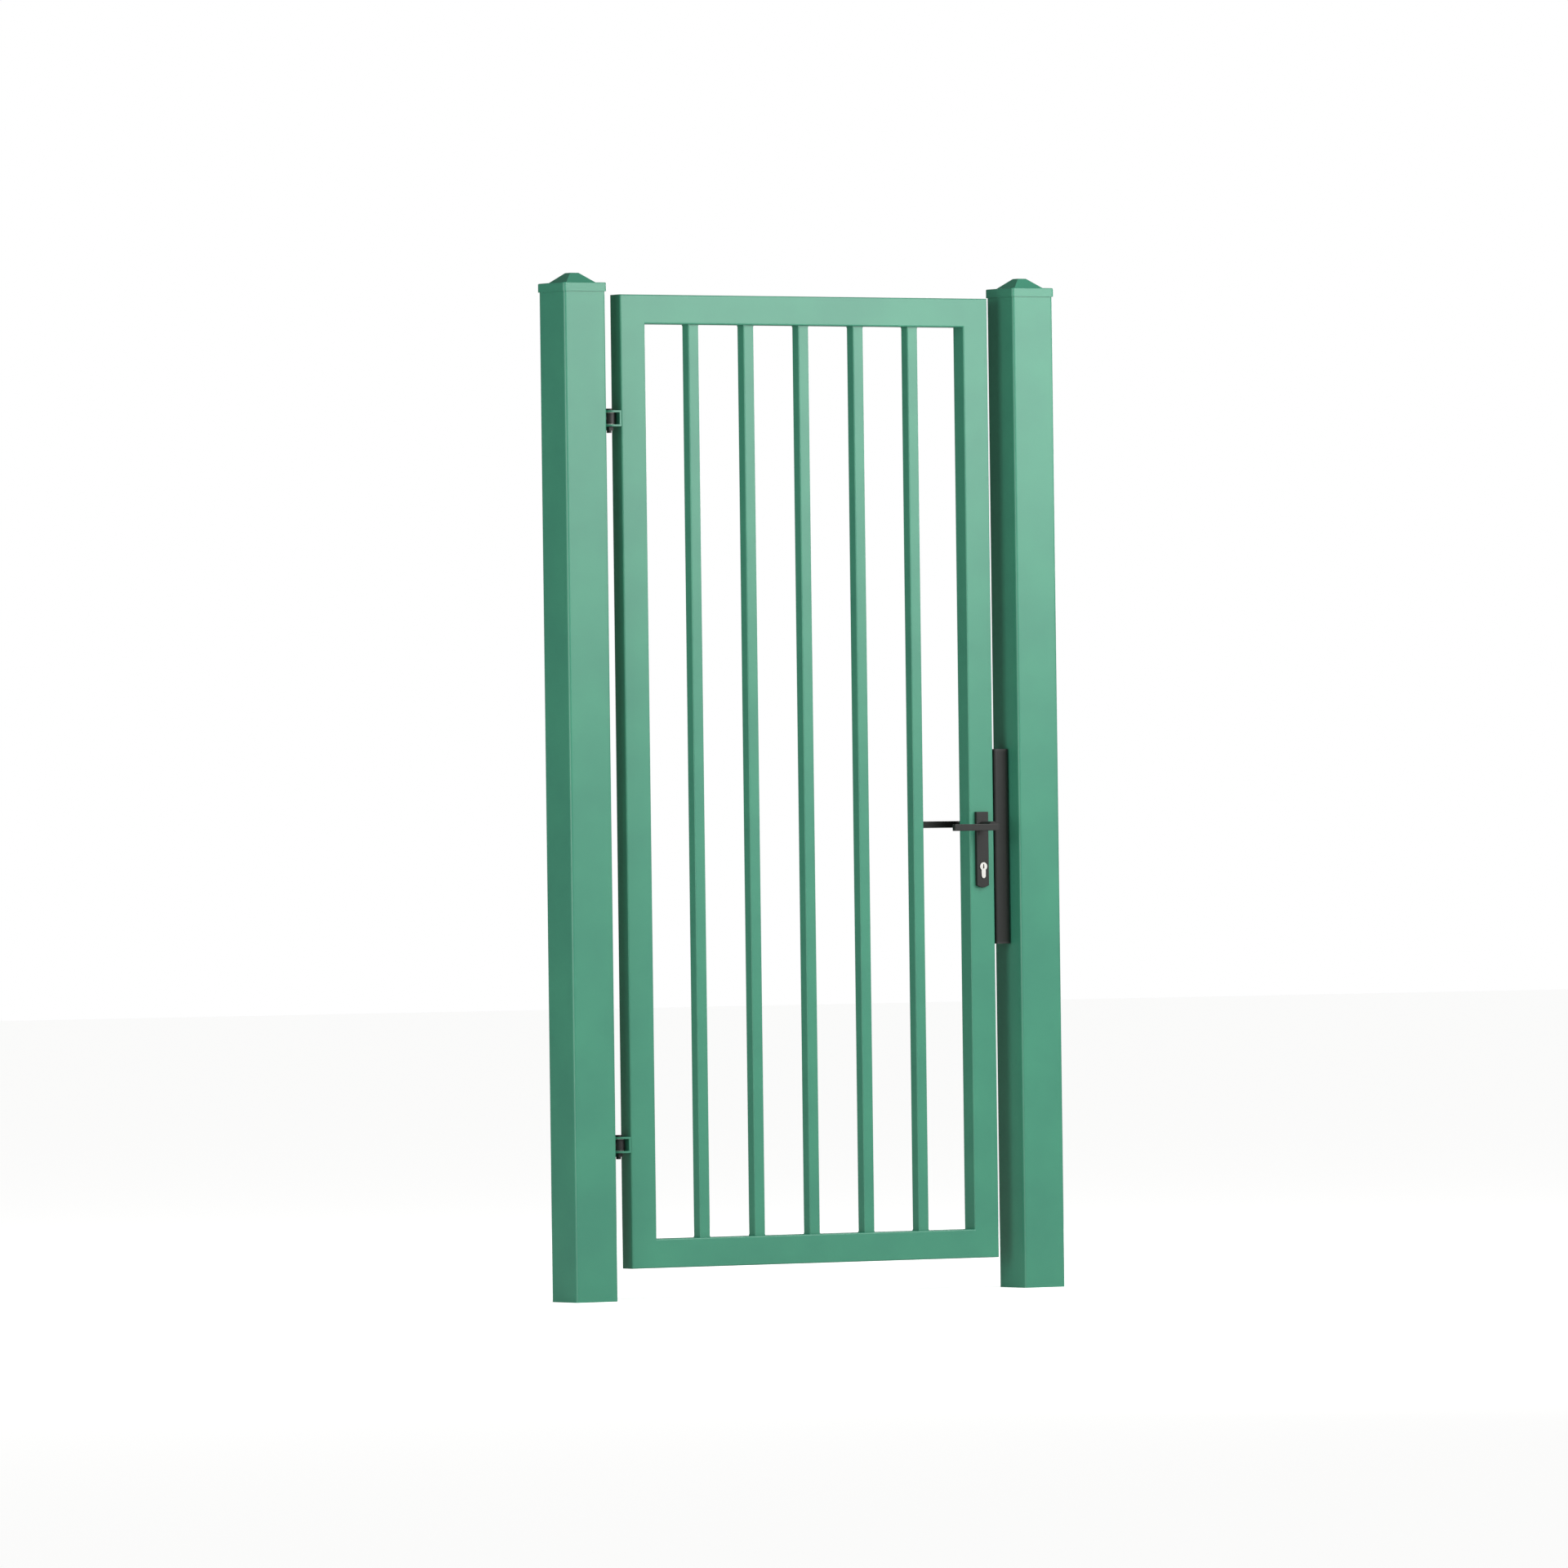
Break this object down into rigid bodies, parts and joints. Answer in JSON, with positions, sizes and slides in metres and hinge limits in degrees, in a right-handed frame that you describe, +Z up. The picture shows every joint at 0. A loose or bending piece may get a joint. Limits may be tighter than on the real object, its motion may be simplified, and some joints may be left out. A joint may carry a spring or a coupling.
{
  "type": "garden gate",
  "caption": "Upright-bar steel gate leaf hung between two capped square posts on bolt-on hinges, with a lever lock and keep.",
  "frame": {"origin": "on the ground, midway between the two posts, on the plane through the posts' centres", "axes": "+Z up; +X across the gateway from the hinge post to the lock post; +Y to the back, away from the side the leaf opens to"},
  "size_m": [1.205, 0.156, 2.1115],
  "materials": {
    "green_powder_coat": "fine-textured powder coat, satin",
    "black_anodised_aluminium": "black anodised, satin",
    "black_polyamide": "moulded, matt",
    "black_rubber": "extruded, matt",
    "white_polyamide": "turned, smooth",
    "black_coated_steel": "black zinc coating, satin",
    "nickel_plated_brass": "satin nickel plate",
    "stainless_steel": "brushed",
    "zinc_plated_steel": "bright zinc plate"
  },
  "bodies": {
    "posts": {"hinge_post": "green_powder_coat", "lock_post": "green_powder_coat", "hinge_post_cap": "green_powder_coat", "lock_post_cap": "green_powder_coat", "upper_hinge_eye": "black_coated_steel", "lower_hinge_eye": "black_coated_steel", "upper_hinge_bushes": "white_polyamide", "lower_hinge_bushes": "white_polyamide", "stud_lock_nuts": "black_coated_steel", "stud_weld_nuts": "zinc_plated_steel", "keep_profile": "black_anodised_aluminium", "keep_screws": "zinc_plated_steel", "keep_nuts": "zinc_plated_steel", "keep_bottom_cap": "black_polyamide", "keep_top_cap": "black_polyamide", "stop_strip": "black_rubber"},
    "leaf": {"bottom_rail": "green_powder_coat", "cylinder_screw": "stainless_steel", "faceplate_screws": "stainless_steel", "front_handle_plate": "black_anodised_aluminium", "hinge_stile": "green_powder_coat", "latch_spring": "zinc_plated_steel", "lock_case": "zinc_plated_steel", "lock_faceplate": "stainless_steel", "lock_stile": "green_powder_coat", "lower_hinge_bracket": "green_powder_coat", "lower_hinge_nut": "black_coated_steel", "lower_hinge_pin": "black_coated_steel", "plate_screws": "zinc_plated_steel", "profile_cylinder": "nickel_plated_brass", "rear_handle_plate": "black_anodised_aluminium", "top_rail": "green_powder_coat", "upper_hinge_bracket": "green_powder_coat", "upper_hinge_nut": "black_coated_steel", "upper_hinge_pin": "black_coated_steel", "upright_bar_1": "green_powder_coat", "upright_bar_2": "green_powder_coat", "upright_bar_3": "green_powder_coat", "upright_bar_4": "green_powder_coat", "upright_bar_5": "green_powder_coat"},
    "levers": {"front_lever": "black_anodised_aluminium", "rear_lever": "black_anodised_aluminium", "square_spindle": "zinc_plated_steel", "lock_follower": "zinc_plated_steel", "lever_set_screws": "zinc_plated_steel"},
    "latch": {"latch_bolt": "stainless_steel"},
    "deadbolt": {"dead_bolt": "stainless_steel"},
    "cylinder_plugs": {"front_key_plug": "nickel_plated_brass", "rear_key_plug": "nickel_plated_brass", "cylinder_cam": "nickel_plated_brass"}
  },
  "joints": [
    {"name": "leaf_swing", "type": "hinge", "parent": "posts", "child": "leaf", "pos_m": [-0.465, 0, 0], "axis": [0, 0, -1], "range_deg": [0, 90]},
    {"name": "lever_turn", "type": "hinge", "parent": "leaf", "child": "levers", "pos_m": [0.422, 0, 0.967], "axis": [0, -1, 0], "range_deg": [0, 45], "stiffness_Nm_per_rad": 1.5, "springref_deg": -28.65},
    {"name": "latch_slide", "type": "slide", "parent": "leaf", "child": "latch", "axis": [-1, 0, 0], "range_m": [0, 0.0131], "deforming": ["latch_spring"]},
    {"name": "cylinder_turn", "type": "hinge", "parent": "leaf", "child": "cylinder_plugs", "pos_m": [0.422, 0, 0.882], "axis": [0, 1, 0], "range_deg": [0, 360]},
    {"name": "deadbolt_slide", "type": "slide", "parent": "leaf", "child": "deadbolt", "axis": [1, 0, 0], "range_m": [0, 0.0201]}
  ],
  "couplings": [
    {"joint": "latch_slide", "follows": "lever_turn", "m_per_rad": 0.0165},
    {"joint": "cylinder_turn", "follows": "deadbolt_slide", "rad_per_m": 312.5}
  ]
}
